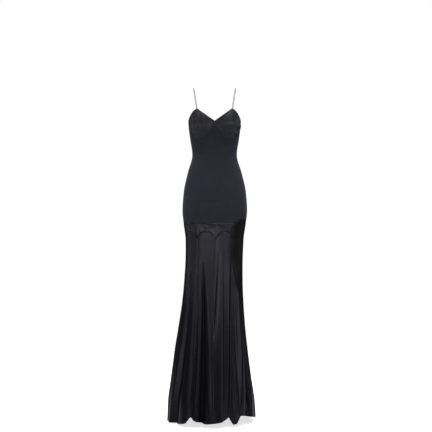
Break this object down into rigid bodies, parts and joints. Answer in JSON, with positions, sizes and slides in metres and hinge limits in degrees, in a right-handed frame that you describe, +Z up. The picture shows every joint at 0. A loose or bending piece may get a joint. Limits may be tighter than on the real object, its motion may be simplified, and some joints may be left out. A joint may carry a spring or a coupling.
{
  "type": "evening gown",
  "caption": "Floor-length slip evening gown with thin shoulder straps, satin cups over a matt crepe bodice, and a flared satin skirt with arched hip seams.",
  "frame": {"origin": "midway between the tops of the two shoulder straps, where the wearer's shoulders carry them", "axes": "+Z up, front of the gown towards -Y, +X towards the wearer's left"},
  "size_m": [0.4159, 0.3798, 1.5594],
  "materials": {
    "crepe": "matt black crepe with a fine pebbled face",
    "satin": "black satin with a soft sheen"
  },
  "bodies": {
    "root": {"front_body": "crepe", "back_body": "crepe", "cup_left": "satin", "cup_right": "satin", "yoke_front": "satin", "yoke_back": "satin", "gore_1": "satin", "gore_2": "satin", "gore_3": "satin", "gore_4": "satin", "gore_5": "satin", "gore_6": "satin", "gore_7": "satin", "gore_8": "satin", "neckline_binding": "satin", "armhole_binding_left": "satin", "armhole_binding_right": "satin", "back_binding": "satin", "strap_left": "satin", "strap_right": "satin"}
  },
  "joints": []
}
